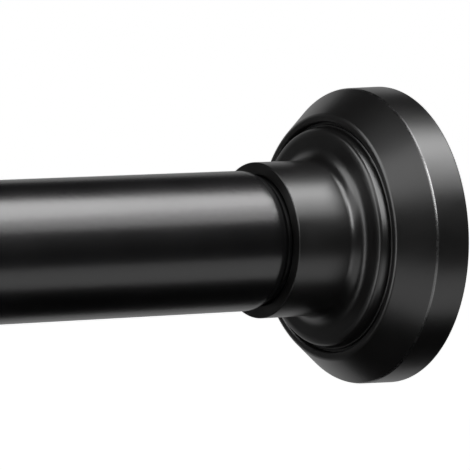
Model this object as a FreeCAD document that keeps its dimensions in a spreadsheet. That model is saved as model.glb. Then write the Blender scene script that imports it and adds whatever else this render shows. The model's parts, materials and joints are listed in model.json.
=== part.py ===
import FreeCAD, Part
import math
import os

import Sketcher

# Spring tension rod for a curtain: two telescoping tubes, a twist lock with a compression
# spring between them, and a round end cap with a grip pad at each end.
#
# Frame: the origin is the centre of the first end's wall face, +X runs along the rod away
# from that wall, +Z is up. Every station is a distance along +X, in millimetres.

SIZES = {
    # Tubes
    "tube_radius": 12.7,
    "tube_wall": 0.7,
    "tube_length": 646.0,
    "inner_radius": 11.1,
    "inner_wall": 0.7,
    "inner_length": 550.0,
    "inner_in_view": 83.6,
    "neck_radius": 11.7,
    "neck_end": 28.9,
    "shoulder_end": 32.2,
    "shoulder_round": 8.0,
    # Fits: what turns or slides, what is clipped or pressed together, and a hidden clearance
    "running_gap": 0.1,
    "pivot_gap": 0.05,
    "seat_gap": 0.1,
    "head_gap": 0.3,
    "edge_round": 0.2,
    "edge_break": 0.5,
    # Grip pad
    "pad_radius": 24.0,
    "pad_thickness": 3.4,
    "pad_proud": 1.0,
    "pad_land_radius": 5.0,
    "pad_spigot_outer": 11.6,
    "pad_spigot_inner": 8.0,
    "pad_spigot_depth": 1.8,
    "tread_pitch": 3.8,
    "tread_width": 1.7,
    "tread_depth": 0.8,
    # Cover ring
    "flange_radius": 27.18,
    "rim_draft": 0.12,
    "rim_depth": 6.9,
    "rim_round": 0.9,
    "rim_back_round": 0.35,
    "cover_depth": 12.8,
    "cover_wall": 1.1,
    "lip_radius": 21.05,
    "lip_width": 1.35,
    "lip_thickness": 1.2,
    "lip_round": 0.9,
    "lip_inner_round": 0.4,
    "bead_height": 0.5,
    "bead_length": 1.2,
    # End bell
    "collar_radius": 14.15,
    "collar_front": 29.0,
    "collar_round": 0.2,
    "mouth_round": 0.4,
    "throat_round": 2.6,
    "disc_front": 15.5,
    "disc_radius": 20.2,
    "disc_draft": 0.2,
    "disc_round": 1.0,
    "ledge_sink": 0.45,
    "channel_width": 0.5,
    "channel_depth": 0.45,
    "bell_wall": 1.5,
    "disc_wall": 1.8,
    "socket_wall": 1.6,
    "floor_thickness": 2.5,
    "web_thickness": 1.6,
    "web_count": 8,
    # Pivot screw and its washer
    "head_radius": 5.0,
    "head_height": 2.3,
    "head_round": 0.8,
    "drive_flats": 3.0,
    "drive_depth": 1.5,
    "shoulder_radius": 3.0,
    "screw_radius": 2.2,
    "screw_reach": 15.0,
    "washer_radius": 6.5,
    "washer_thickness": 0.8,
    # Tube plugs and the pins that hold them
    "plug_flange": 1.2,
    "plug_depth": 19.0,
    "plug_wall": 2.0,
    "plug_base": 3.0,
    "boss_radius": 4.8,
    "fin_thickness": 1.6,
    "fin_count": 3,
    "pin_radius": 1.5,
    "pin_station": 9.5,
    "pin_sink": 0.15,
    # Bush in the mouth of the outer tube, and the sleeve that fits the far bell to the inner tube
    "bush_lip": 2.0,
    "bush_proud": 0.4,
    "bush_depth": 14.0,
    "reducer_sink": 0.5,
    # Expander sleeve
    "sleeve_length": 34.0,
    "sleeve_base": 9.0,
    "sleeve_edge": 1.0,
    "taper_length": 14.0,
    "taper_angle": 12.0,
    "slot_width": 3.0,
    "slot_length": 23.0,
    "slot_count": 6,
    # Cone nut
    "nut_travel": 1.5,
    "nut_reach": 10.0,
    "nut_head": 6.0,
    "nut_head_edge": 0.9,
    "key_gap": 0.2,
    "key_sink": 0.4,
    # Lock stud and the clip on its end
    "journal_radius": 4.0,
    "stud_tail": 9.0,
    "stud_collar_radius": 8.0,
    "stud_collar_length": 2.5,
    "shank_flats": 7.0,
    "stop_thread_radius": 3.3,
    "stud_tip": 2.5,
    "groove_depth": 0.85,
    "clip_station": 2.0,
    "clip_thickness": 0.8,
    "clip_width": 3.0,
    "clip_mouth": 5.0,
    "thrust_radius": 9.5,
    "thrust_thickness": 1.0,
    # Compression spring and its seat
    "wire_radius": 1.0,
    "coil_radius": 8.0,
    "spring_length": 50.0,
    "closed_pitch": 2.15,
    "active_turns": 6,
    "ground_depth": 0.6,
    "spring_margin": 2.0,
    "seat_thickness": 1.5,
    "seat_spigot": 3.0,
    "seat_rim": 1.0,
    "spigot_radius": 6.2,
    # Shank guide in the mouth of the inner tube, with the stop behind it
    "guide_flange": 3.0,
    "guide_depth": 20.0,
    "guide_spigot": 5.0,
    "guide_pin_station": 10.0,
    "stop_radius": 9.5,
    "stop_thickness": 1.5,
    "stop_nut_flats": 13.0,
    "stop_nut_height": 6.5,
}

SHEET = "Sizes"
TURNED_ROUND = FreeCAD.Rotation(FreeCAD.Vector(0, 0, 1), 180)

doc = FreeCAD.newDocument("TensionRod")
sheet = doc.addObject("Spreadsheet::Sheet", SHEET)
for row, (alias, number) in enumerate(SIZES.items(), start=1):
    sheet.set(f"A{row}", alias)
    sheet.set(f"B{row}", str(number))
    sheet.setAlias(f"B{row}", alias)
doc.recompute()


def size(name):
    """The expression that reads one size from the sheet."""
    return f"{SHEET}.{name}"


def term(name):
    """A size's expression where the name is one, and otherwise the expression as it stands."""
    return size(name) if name in SIZES else name


def total(*names):
    """The expression for a sum of sizes and expressions."""
    return "(" + " + ".join(term(name) for name in names) + ")"


def less(*names):
    """The expression for the first size or expression with the others taken off."""
    return "(" + " - ".join(term(name) for name in names) + ")"


def middle(first, second):
    """The expression for the point halfway between two sizes or expressions."""
    return f"(({term(first)} + {term(second)}) / 2)"


def value(expression):
    """The length in millimetres that an expression gives now."""
    return float(sheet.evalExpression(expression))


# Stations of one end, counted from its own wall. Both ends share them.
RIM_FRONT = total("pad_proud", "rim_depth")
LIP_FRONT = total("pad_proud", "cover_depth")
LIP_BACK = less(LIP_FRONT, "lip_thickness")
LEDGE = less(LIP_FRONT, "ledge_sink")
BEAD_FRONT = total("pad_proud", "bead_length")
SKIRT_BACK = total(BEAD_FRONT, "seat_gap")
DISC_BACK = less("disc_front", "disc_wall")
HEAD_BACK = total("pad_thickness", "head_gap")
WASHER_BACK = total(HEAD_BACK, "head_height")
FLOOR_BACK = total(WASHER_BACK, "washer_thickness")
FLOOR_FRONT = total(FLOOR_BACK, "floor_thickness")
TUBE_START = total(FLOOR_FRONT, "plug_flange")

# Stations along the whole rod
TUBE_END = total(TUBE_START, "tube_length")
BUSH_FRONT = total(TUBE_END, "bush_lip")
FAR_WALL = total(BUSH_FRONT, "inner_in_view", "collar_front")
INNER_MOUTH = less(FAR_WALL, TUBE_START, "inner_length")
GUIDE_START = less(INNER_MOUTH, "guide_flange")
SPRING_START = less(GUIDE_START, "spring_length")
SEAT_START = less(SPRING_START, "seat_thickness")
STUD_COLLAR = less(SEAT_START, "stud_collar_length")
SLEEVE_END = less(STUD_COLLAR, "thrust_thickness")
SLEEVE_START = less(SLEEVE_END, "sleeve_length")
NUT_START = less(SLEEVE_START, "nut_head")
STUD_START = less(NUT_START, "stud_tail")
STOP_START = total(INNER_MOUTH, "guide_depth")
STOP_NUT_START = total(STOP_START, "stop_thickness")

# Radii that several pieces share
TUBE_BORE = less("tube_radius", "tube_wall")
INNER_BORE = less("inner_radius", "inner_wall")
BUSH_FIT = less(TUBE_BORE, "seat_gap")
NECK_BORE = less("neck_radius", "tube_wall")
NECK_PLUG_FIT = less(NECK_BORE, "seat_gap")
INNER_PLUG_FIT = less(INNER_BORE, "seat_gap")
SOCKET_BORE = total("neck_radius", "running_gap")
SOCKET_RADIUS = total(SOCKET_BORE, "socket_wall")
PIVOT_BORE = total("shoulder_radius", "pivot_gap")
SCREW_BORE = total("screw_radius", "pivot_gap")
SLIDE_RADIUS = less(TUBE_BORE, "running_gap")
JOURNAL_BORE = total("journal_radius", "pivot_gap")
THREAD_RADIUS = less("journal_radius", "pivot_gap")
GROOVE_RADIUS = less(THREAD_RADIUS, "groove_depth")
SHANK_CORNER = f"({size('shank_flats')} / (2 * cos(30)))"

# The spring's round wire is drawn as a polygon of the same area
WIRE_SIDES = 8
WIRE_CORNER = f"({size('wire_radius')} * sqrt(2 * pi / ({WIRE_SIDES} * sin(360 / {WIRE_SIDES}))))"

# The cover ring's cone: how far it drops for each millimetre along the rod, and what each
# millimetre of depth square under it takes off the radius
RIM_EDGE = less("flange_radius", "rim_draft")
LIP_CORNER = total("lip_radius", "lip_width")
CONE_DROP = f"(({RIM_EDGE} - {LIP_CORNER}) / ({LIP_FRONT} - {RIM_FRONT}))"
CONE_DEPTH = f"sqrt(1 + {CONE_DROP} ^ 2)"
COVER_BORE = less(RIM_EDGE, "cover_wall")
SKIRT_RADIUS = less(COVER_BORE, "seat_gap")
SKIRT_BORE = total("pad_radius", "seat_gap")

# The expander's taper, in millimetres of radius for each millimetre along the rod
TAPER_DROP = f"tan({size('taper_angle')})"
TAPER_MOUTH = less(SLIDE_RADIUS, "sleeve_edge")
TAPER_END = f"({TAPER_MOUTH} - {size('taper_length')} * {TAPER_DROP})"
NUT_HEAD_RADIUS = less(SLIDE_RADIUS, "nut_head_edge")


def cone_radius(station, depth):
    """The radius at a station, at a depth square under the cover ring's cone."""
    return f"({LIP_CORNER} + ({LIP_FRONT} - {station}) * {CONE_DROP} - {depth} * {CONE_DEPTH})"


def cone_station(radius, depth):
    """The station where the same line reaches a radius."""
    return f"({LIP_FRONT} - ({radius} - {LIP_CORNER} + {depth} * {CONE_DEPTH}) / {CONE_DROP})"


def nut_radius(station):
    """The cone nut's radius at a station of its own, clear of the sleeve at its full travel."""
    advance = f"({station} - {size('nut_head')} + {size('nut_travel')})"
    return f"({TAPER_MOUTH} - {size('running_gap')} - {advance} * {TAPER_DROP})"


def nut_station(radius):
    """The station of its own where the cone nut reaches a radius."""
    advance = f"(({TAPER_MOUTH} - {size('running_gap')} - {radius}) / {TAPER_DROP})"
    return f"({advance} + {size('nut_head')} - {size('nut_travel')})"


def origin_feature(body, role):
    """One of a body's own origin planes or axes."""
    return next(feature for feature in body.Origin.OriginFeatures if feature.Role == role)


def new_body(label, station=None, faces_back=False):
    """An empty body whose own zero lies at a station. Far pieces face back along the rod."""
    body = doc.addObject("PartDesign::Body", label)
    body.Label = label
    if faces_back:
        body.Placement = FreeCAD.Placement(FreeCAD.Vector(0, 0, 0), TURNED_ROUND)
    if station:
        body.setExpression("Placement.Base.x", station)
    return body


def new_sketch(body, name, role, offset=None):
    """A sketch on an origin plane of its body, moved out along the plane's normal."""
    sketch = body.newObject("Sketcher::SketchObject", f"{body.Name}_{name}")
    sketch.AttachmentSupport = [(origin_feature(body, role), "")]
    sketch.MapMode = "FlatFace"
    if offset:
        sketch.setExpression("AttachmentOffset.Base.z", offset)
    return sketch


def fix_distance(sketch, kind, geometry, point, expression):
    """Holds a point of the sketch at a distance from the origin, or on an axis where it is 0."""
    if expression == "0":
        axis = -2 if kind == "DistanceX" else -1
        sketch.addConstraint(Sketcher.Constraint("PointOnObject", geometry, point, axis))
        return
    held = sketch.addConstraint(Sketcher.Constraint(kind, -1, 1, geometry, point, value(expression)))
    sketch.setExpression(f"Constraints[{held}]", expression)


def draw_loop(sketch, points):
    """Draws straight lines round a closed loop of points, joined end to start."""
    count = len(points)
    for index, point in enumerate(points):
        sketch.addGeometry(Part.LineSegment(point, points[(index + 1) % count]), False)
    for index in range(count):
        sketch.addConstraint(Sketcher.Constraint("Coincident", index, 2, (index + 1) % count, 1))


def draw_outline(sketch, corners):
    """Draws a closed outline through corners, each a pair of expressions: along, outwards."""
    draw_loop(sketch, [FreeCAD.Vector(value(along), value(out), 0) for along, out in corners])
    for index, (along, out) in enumerate(corners):
        fix_distance(sketch, "DistanceX", index, 1, along)
        fix_distance(sketch, "DistanceY", index, 1, out)


def draw_circle(sketch, radius, along="0", out="0"):
    """Draws a circle at a place in the sketch."""
    centre = FreeCAD.Vector(value(along), value(out), 0)
    index = sketch.addGeometry(Part.Circle(centre, FreeCAD.Vector(0, 0, 1), value(radius)), False)
    fix_distance(sketch, "DistanceX", index, 3, along)
    fix_distance(sketch, "DistanceY", index, 3, out)
    held = sketch.addConstraint(Sketcher.Constraint("Radius", index, value(radius)))
    sketch.setExpression(f"Constraints[{held}]", radius)


def draw_bar(sketch, width, inner, outer):
    """Draws a bar centred on the sketch's upright axis, from one height to another."""
    half = value(width) / 2
    low = value(inner)
    high = value(outer)
    corners = [(-half, low), (half, low), (half, high), (-half, high)]
    draw_loop(sketch, [FreeCAD.Vector(across, up, 0) for across, up in corners])
    for line in (1, 3):
        sketch.addConstraint(Sketcher.Constraint("Vertical", line))
    sketch.addConstraint(Sketcher.Constraint("Horizontal", 2))
    sketch.addConstraint(Sketcher.Constraint("Symmetric", 0, 1, 0, 2, -2))
    held = sketch.addConstraint(Sketcher.Constraint("DistanceX", 0, 1, 0, 2, value(width)))
    sketch.setExpression(f"Constraints[{held}]", width)
    fix_distance(sketch, "DistanceY", 0, 1, inner)
    fix_distance(sketch, "DistanceY", 2, 1, outer)


def draw_polygon(sketch, sides, reach, along="0", out="0"):
    """Draws a regular polygon at a place in the sketch, with one corner level with its centre."""
    centre = FreeCAD.Vector(value(along), value(out), 0)
    points = []
    for corner in range(sides):
        turn = 2 * math.pi * corner / sides
        points.append(centre + FreeCAD.Vector(math.cos(turn), math.sin(turn), 0) * value(reach))
    draw_loop(sketch, points)
    guide = sketch.addGeometry(Part.Circle(centre, FreeCAD.Vector(0, 0, 1), value(reach)), True)
    for line in range(sides):
        sketch.addConstraint(Sketcher.Constraint("PointOnObject", line, 1, guide))
    for line in range(1, sides):
        sketch.addConstraint(Sketcher.Constraint("Equal", 0, line))
    fix_distance(sketch, "DistanceX", guide, 3, along)
    fix_distance(sketch, "DistanceY", guide, 3, out)
    sketch.addConstraint(Sketcher.Constraint("Horizontal", 0, 1, guide, 3))
    held = sketch.addConstraint(Sketcher.Constraint("Radius", guide, value(reach)))
    sketch.setExpression(f"Constraints[{held}]", reach)


def revolve(body, name, corners, kind="PartDesign::Revolution"):
    """Turns an outline of stations and radii about the rod's axis, adding or cutting."""
    sketch = new_sketch(body, f"{name}_outline", "XZ_Plane")
    draw_outline(sketch, corners)
    feature = body.newObject(kind, f"{body.Name}_{name}")
    feature.Profile = sketch
    feature.ReferenceAxis = (sketch, ["H_Axis"])
    feature.Angle = 360
    doc.recompute()
    return feature


def ring(body, name, start, end, inner, outer):
    """A plain ring."""
    return revolve(body, name, [(start, inner), (end, inner), (end, outer), (start, outer)])


def pad_along(body, name, sketch, length):
    """Raises a sketch that stands square to the rod along its body's +X."""
    feature = body.newObject("PartDesign::Pad", f"{body.Name}_{name}")
    feature.Profile = sketch
    feature.setExpression("Length", length)
    doc.recompute()
    return feature


def pocket_along(body, name, sketch, length=None):
    """Cuts a sketch that stands square to the rod along its body's +X, or right through."""
    feature = body.newObject("PartDesign::Pocket", f"{body.Name}_{name}")
    feature.Profile = sketch
    feature.Reversed = True
    if length:
        feature.setExpression("Length", length)
    else:
        feature.Type = "ThroughAll"
    doc.recompute()
    return feature


def repeat_round(body, feature, count):
    """Repeats a feature evenly round the rod."""
    copies = body.newObject("PartDesign::PolarPattern", f"{feature.Name}_copies")
    copies.Originals = [feature]
    copies.Axis = (origin_feature(body, "X_Axis"), [""])
    copies.Angle = 360
    copies.setExpression("Occurrences", count)
    body.Tip = copies
    doc.recompute()
    return copies


def circles_at(feature, station, radius):
    """Names the whole circles of a feature at a station and radius in its body."""
    names = []
    for index, edge in enumerate(feature.Shape.Edges, start=1):
        curve = edge.Curve
        if not isinstance(curve, Part.Circle):
            continue
        off_station = abs(curve.Center.x - value(station))
        off_radius = abs(curve.Radius - value(radius))
        if max(off_station, off_radius) < 0.001:
            names.append(f"Edge{index}")
    return names


def dress_edges(body, kind, name, places, width):
    """Rounds or bevels circular edges of a body, given as pairs of station and radius."""
    base = body.Tip
    feature = body.newObject(f"PartDesign::{kind}", f"{body.Name}_{name}")
    feature.Base = (base, [edge for place in places for edge in circles_at(base, *place)])
    feature.setExpression("Radius" if kind == "Fillet" else "Size", width)
    doc.recompute()
    return feature


def wall_pad(label, station, faces_back):
    """Rubber disc with ring treads on the wall side and a spigot that the bell's socket holds."""
    body = new_body(label, station, faces_back)
    room = SIZES["pad_radius"] - SIZES["pad_land_radius"]
    depth = size("tread_depth")
    corners = [("0", "0")]
    for number in range(int(room / SIZES["tread_pitch"] + 0.001)):
        start = f"({size('pad_land_radius')} + {number} * {size('tread_pitch')})"
        end = f"({start} + {size('tread_pitch')} - {size('tread_width')})"
        corners += [("0", start), (depth, start), (depth, end), ("0", end)]
    back = size("pad_thickness")
    spigot_end = total("pad_thickness", "pad_spigot_depth")
    corners += [("0", size("pad_radius")), (back, size("pad_radius"))]
    corners += [(back, size("pad_spigot_outer")), (spigot_end, size("pad_spigot_outer"))]
    corners += [(spigot_end, size("pad_spigot_inner")), (back, size("pad_spigot_inner")), (back, "0")]
    revolve(body, "disc", corners)
    return body


def cover_ring(label, station, faces_back):
    """Thin shell over the bell: short rim, cone and narrow lip, with a clip bead at the back."""
    body = new_body(label, station, faces_back)
    back = size("pad_proud")
    wall = size("cover_wall")
    bead = less(COVER_BORE, "bead_height")
    corners = [(back, bead), (back, size("flange_radius")), (RIM_FRONT, RIM_EDGE)]
    corners += [(LIP_FRONT, LIP_CORNER), (LIP_FRONT, size("lip_radius")), (LIP_BACK, size("lip_radius"))]
    corners += [(LIP_BACK, cone_radius(LIP_BACK, wall)), (cone_station(COVER_BORE, wall), COVER_BORE)]
    corners += [(BEAD_FRONT, COVER_BORE), (BEAD_FRONT, bead)]
    revolve(body, "shell", corners)
    dress_edges(body, "Fillet", "rim", [(RIM_FRONT, RIM_EDGE)], size("rim_round"))
    dress_edges(body, "Fillet", "rim_back", [(back, size("flange_radius"))], size("rim_back_round"))
    dress_edges(body, "Fillet", "lip", [(LIP_FRONT, LIP_CORNER)], size("lip_round"))
    dress_edges(body, "Fillet", "lip_edge", [(LIP_FRONT, size("lip_radius"))], size("lip_inner_round"))
    return body


def end_bell(label, station, faces_back):
    """Moulded bell: collar round the tube, disc, channel inside the lip, covered skirt, webs."""
    body = new_body(label, station, faces_back)
    outside = total("cover_wall", "seat_gap")
    inside = total("cover_wall", "seat_gap", "bell_wall")
    shoulder = less(LIP_BACK, "seat_gap")
    channel_edge = less("lip_radius", "seat_gap")
    channel_floor = less(LEDGE, "channel_depth")
    ledge_edge = less("lip_radius", "channel_width")
    recess = total("pad_spigot_outer", "seat_gap")
    pad_back = size("pad_thickness")
    disc_front = size("disc_front")
    disc_edge = less("disc_radius", "disc_draft")
    collar = size("collar_radius")
    collar_front = size("collar_front")
    corners = [(FLOOR_BACK, PIVOT_BORE), (FLOOR_BACK, recess), (pad_back, recess)]
    corners += [(pad_back, SOCKET_RADIUS), (DISC_BACK, SOCKET_RADIUS)]
    corners += [(DISC_BACK, cone_radius(DISC_BACK, inside)), (cone_station(SKIRT_BORE, inside), SKIRT_BORE)]
    corners += [(SKIRT_BACK, SKIRT_BORE), (SKIRT_BACK, SKIRT_RADIUS)]
    corners += [(cone_station(SKIRT_RADIUS, outside), SKIRT_RADIUS)]
    corners += [(shoulder, cone_radius(shoulder, outside)), (shoulder, channel_edge)]
    corners += [(channel_floor, channel_edge), (channel_floor, ledge_edge), (LEDGE, ledge_edge)]
    corners += [(LEDGE, size("disc_radius")), (disc_front, disc_edge)]
    corners += [(disc_front, collar), (collar_front, collar)]
    corners += [(collar_front, SOCKET_BORE), (FLOOR_FRONT, SOCKET_BORE), (FLOOR_FRONT, PIVOT_BORE)]
    revolve(body, "shell", corners)
    dress_edges(body, "Fillet", "throat", [(disc_front, collar)], size("throat_round"))
    dress_edges(body, "Fillet", "disc", [(disc_front, disc_edge)], size("disc_round"))
    dress_edges(body, "Fillet", "collar", [(collar_front, collar)], size("collar_round"))
    dress_edges(body, "Fillet", "mouth", [(collar_front, SOCKET_BORE)], size("mouth_round"))
    dress_edges(body, "Fillet", "ledge", [(LEDGE, ledge_edge)], size("edge_round"))
    bell_webs(body)
    return body


def bell_webs(body):
    """Radial webs inside the bell, from its socket to its skirt, that also carry the pad."""
    back = size("pad_thickness")
    front = middle(DISC_BACK, "disc_front")
    depth = f"({total('cover_wall', 'seat_gap')} + {size('bell_wall')} / 2)"
    socket = middle(SOCKET_BORE, SOCKET_RADIUS)
    skirt = middle(SKIRT_BORE, SKIRT_RADIUS)
    sketch = new_sketch(body, "web_outline", "XZ_Plane")
    corners = [(back, socket), (back, skirt), (cone_station(skirt, depth), skirt)]
    corners += [(front, cone_radius(front, depth)), (front, socket)]
    draw_outline(sketch, corners)
    web = body.newObject("PartDesign::Pad", f"{body.Name}_web")
    web.Profile = sketch
    web.SideType = "Symmetric"
    web.setExpression("Length", size("web_thickness"))
    doc.recompute()
    repeat_round(body, web, size("web_count"))


def cap_screw(label, station, faces_back):
    """Shoulder screw that the cap turns on: round head, plain shoulder and a threaded end."""
    body = new_body(label, station, faces_back)
    end = total(FLOOR_FRONT, "screw_reach")
    corners = [(HEAD_BACK, "0"), (HEAD_BACK, size("head_radius")), (WASHER_BACK, size("head_radius"))]
    corners += [(WASHER_BACK, size("shoulder_radius")), (FLOOR_FRONT, size("shoulder_radius"))]
    corners += [(FLOOR_FRONT, size("screw_radius")), (end, size("screw_radius")), (end, "0")]
    revolve(body, "blank", corners)
    dress_edges(body, "Fillet", "head", [(HEAD_BACK, size("head_radius"))], size("head_round"))
    dress_edges(body, "Chamfer", "tip", [(end, size("screw_radius"))], size("edge_break"))
    drive = new_sketch(body, "drive_outline", "YZ_Plane", HEAD_BACK)
    draw_polygon(drive, 6, f"({size('drive_flats')} / (2 * cos(30)))")
    pocket_along(body, "drive", drive, size("drive_depth"))
    return body


def cap_washer(label, station, faces_back):
    """Steel washer between the screw's head and the bell's floor."""
    body = new_body(label, station, faces_back)
    bore = total("shoulder_radius", "seat_gap")
    ring(body, "ring", WASHER_BACK, FLOOR_BACK, bore, size("washer_radius"))
    return body


def tube_plug(label, fit, station, faces_back):
    """Moulded plug: flange over the tube's end, thin sleeve inside it, finned screw boss."""
    body = new_body(label, station, faces_back)
    inside = less(fit, "plug_wall")
    base = total(TUBE_START, "plug_base")
    end = total(TUBE_START, "plug_depth")
    flange = size("neck_radius")
    corners = [(FLOOR_FRONT, SCREW_BORE), (FLOOR_FRONT, flange), (TUBE_START, flange)]
    corners += [(TUBE_START, fit), (end, fit), (end, inside), (base, inside)]
    corners += [(base, size("boss_radius")), (end, size("boss_radius")), (end, SCREW_BORE)]
    revolve(body, "shell", corners)
    foot = middle(TUBE_START, base)
    fin_outline = new_sketch(body, "fin_outline", "YZ_Plane", foot)
    draw_bar(fin_outline, size("fin_thickness"), middle("boss_radius", SCREW_BORE), middle(inside, fit))
    fin = pad_along(body, "fin", fin_outline, less(end, foot))
    repeat_round(body, fin, size("fin_count"))
    pin_holes(body, total(TUBE_START, "pin_station"), middle("boss_radius", inside))
    return body


def pin_holes(body, station, start="0"):
    """Two opposite holes for retaining pins, from a distance off the axis right outwards."""
    outline = new_sketch(body, "pin_outline", "XZ_Plane", start)
    draw_circle(outline, total("pin_radius", "pivot_gap"), station)
    hole = pocket_along(body, "pin_hole", outline)
    repeat_round(body, hole, "2")


def pin_pair(label, fit, tube_radius, own_zero, pin_station, faces_back=False):
    """Two pins, each through the tube's wall and the wall of the plug inside it."""
    body = new_body(label, own_zero, faces_back)
    start = less(fit, "plug_wall")
    outline = new_sketch(body, "outline", "XZ_Plane", start)
    draw_circle(outline, size("pin_radius"), pin_station)
    pin = pad_along(body, "pin", outline, less(tube_radius, "pin_sink", start))
    repeat_round(body, pin, "2")
    return body


def pierce_tube(body, stations):
    """A pair of pin holes right across a tube at each given station of its own."""
    for number, station in enumerate(stations, start=1):
        holes = new_sketch(body, f"pins_{number}", "XZ_Plane")
        draw_circle(holes, total("pin_radius", "pivot_gap"), station)
        hole = pocket_along(body, f"pin_hole_{number}", holes)
        repeat_round(body, hole, "2")


def outer_tube(label):
    """Round steel tube, drawn in at its first end to a neck that turns in the bell's collar."""
    body = new_body(label, TUBE_START)
    neck = size("neck_radius")
    outside = size("tube_radius")
    neck_end = less("neck_end", TUBE_START)
    shoulder_end = less("shoulder_end", TUBE_START)
    end = size("tube_length")
    corners = [("0", NECK_BORE), ("0", neck), (neck_end, neck), (shoulder_end, outside), (end, outside)]
    corners += [(end, TUBE_BORE), (shoulder_end, TUBE_BORE), (neck_end, NECK_BORE)]
    revolve(body, "wall", corners)
    inner_round = less("shoulder_round", "tube_wall")
    dress_edges(body, "Fillet", "shoulder", [(shoulder_end, outside)], size("shoulder_round"))
    dress_edges(body, "Fillet", "inner_shoulder", [(shoulder_end, TUBE_BORE)], inner_round)
    pierce_tube(body, [size("pin_station")])
    return body


def inner_tube(label):
    """Plain round steel tube, pinned to the shank guide at one end and to the far plug at the other."""
    body = new_body(label, INNER_MOUTH)
    outline = new_sketch(body, "section", "YZ_Plane")
    draw_circle(outline, size("inner_radius"))
    draw_circle(outline, INNER_BORE)
    pad_along(body, "wall", outline, size("inner_length"))
    pierce_tube(body, [size("guide_pin_station"), less("inner_length", "pin_station")])
    return body


def mouth_bush(label):
    """Moulded bush in the outer tube's open end: it guides the inner tube and hides the cut."""
    body = new_body(label)
    start = less(TUBE_END, "bush_depth")
    bore = total("inner_radius", "running_gap")
    lip = total("tube_radius", "bush_proud")
    corners = [(start, bore), (start, BUSH_FIT), (TUBE_END, BUSH_FIT), (TUBE_END, lip)]
    corners += [(BUSH_FRONT, lip), (BUSH_FRONT, bore)]
    revolve(body, "shell", corners)
    dress_edges(body, "Fillet", "lip", [(BUSH_FRONT, lip)], size("edge_break"))
    dress_edges(body, "Fillet", "small", [(BUSH_FRONT, bore), (TUBE_END, lip)], size("edge_round"))
    return body


def reducer_sleeve(label):
    """Thin moulded sleeve that brings the inner tube up to the far bell's bore."""
    body = new_body(label, FAR_WALL, True)
    bore = total("inner_radius", "seat_gap")
    front = less("collar_front", "reducer_sink")
    outside = size("neck_radius")
    ring(body, "ring", TUBE_START, front, bore, outside)
    dress_edges(body, "Fillet", "front", [(front, outside), (front, bore)], size("edge_round"))
    return body


def expander_sleeve(label):
    """Split sleeve that grips the outer tube: slotted fingers, a taper inside, a solid base."""
    body = new_body(label, SLEEVE_START)
    end = size("sleeve_length")
    base = less("sleeve_length", "sleeve_base")
    corners = [("0", TAPER_MOUTH), (size("taper_length"), TAPER_END), (base, TAPER_END)]
    corners += [(base, JOURNAL_BORE), (end, JOURNAL_BORE), (end, SLIDE_RADIUS), ("0", SLIDE_RADIUS)]
    revolve(body, "shell", corners)
    dress_edges(body, "Chamfer", "ends", [("0", SLIDE_RADIUS), (end, SLIDE_RADIUS)], size("edge_break"))
    outline = new_sketch(body, "slot_outline", "YZ_Plane")
    draw_bar(outline, size("slot_width"), middle(JOURNAL_BORE, TAPER_END), size("tube_radius"))
    slot = pocket_along(body, "slot", outline, size("slot_length"))
    repeat_round(body, slot, size("slot_count"))
    return body


def cone_nut(label):
    """Threaded cone that the stud draws into the sleeve. Its keys ride in the sleeve's slots."""
    body = new_body(label, NUT_START)
    end = total("nut_head", "nut_reach")
    head_end = nut_station(NUT_HEAD_RADIUS)
    corners = [("0", size("journal_radius")), ("0", NUT_HEAD_RADIUS), (head_end, NUT_HEAD_RADIUS)]
    corners += [(end, nut_radius(end)), (end, size("journal_radius"))]
    revolve(body, "cone", corners)
    outline = new_sketch(body, "key_outline", "YZ_Plane", head_end)
    width = f"({size('slot_width')} - 2 * {size('key_gap')})"
    draw_bar(outline, width, middle("journal_radius", nut_radius(end)), less(SLIDE_RADIUS, "key_sink"))
    key = pad_along(body, "key", outline, less(end, head_end))
    repeat_round(body, key, size("slot_count"))
    return body


def lock_stud(label):
    """Steel stud: threaded end for the cone nut, journal, collar, hexagonal shank, stop thread."""
    body = new_body(label, STUD_START)
    thread_end = less(SLEEVE_END, "sleeve_base", STUD_START)
    collar = less(STUD_COLLAR, STUD_START)
    seat = less(SEAT_START, STUD_START)
    shank_end = less(STOP_START, STUD_START)
    end = total(shank_end, "stop_thickness", "stop_nut_height", "stud_tip")
    journal = size("journal_radius")
    stop_thread = size("stop_thread_radius")
    corners = [("0", "0"), ("0", THREAD_RADIUS), (thread_end, THREAD_RADIUS), (thread_end, journal)]
    corners += [(collar, journal), (collar, size("stud_collar_radius")), (seat, size("stud_collar_radius"))]
    corners += [(seat, stop_thread), (end, stop_thread), (end, "0")]
    revolve(body, "blank", corners)
    tips = [("0", THREAD_RADIUS), (end, stop_thread)]
    dress_edges(body, "Chamfer", "tips", tips, size("edge_break"))
    groove_start = size("clip_station")
    groove_end = total("clip_station", "clip_thickness")
    cut = [(groove_start, GROOVE_RADIUS), (groove_end, GROOVE_RADIUS)]
    cut += [(groove_end, journal), (groove_start, journal)]
    revolve(body, "groove", cut, "PartDesign::Groove")
    shank = new_sketch(body, "shank_outline", "YZ_Plane", seat)
    draw_polygon(shank, 6, SHANK_CORNER)
    pad_along(body, "shank", shank, less(shank_end, seat))
    return body


def stud_clip(label):
    """Open spring clip in the stud's groove, which keeps the cone nut from running off."""
    body = new_body(label, total(STUD_START, "clip_station"))
    bore = total(GROOVE_RADIUS, "pivot_gap")
    outside = total(bore, "clip_width")
    ring(body, "ring", "0", size("clip_thickness"), bore, outside)
    outline = new_sketch(body, "mouth_outline", "YZ_Plane")
    draw_bar(outline, size("clip_mouth"), f"({GROOVE_RADIUS} / 4)", total(outside, "head_gap"))
    pocket_along(body, "mouth", outline)
    return body


def thrust_washer(label):
    """Washer between the stud's collar and the sleeve's base."""
    body = new_body(label, SLEEVE_END)
    ring(body, "ring", "0", size("thrust_thickness"), JOURNAL_BORE, size("thrust_radius"))
    return body


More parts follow.
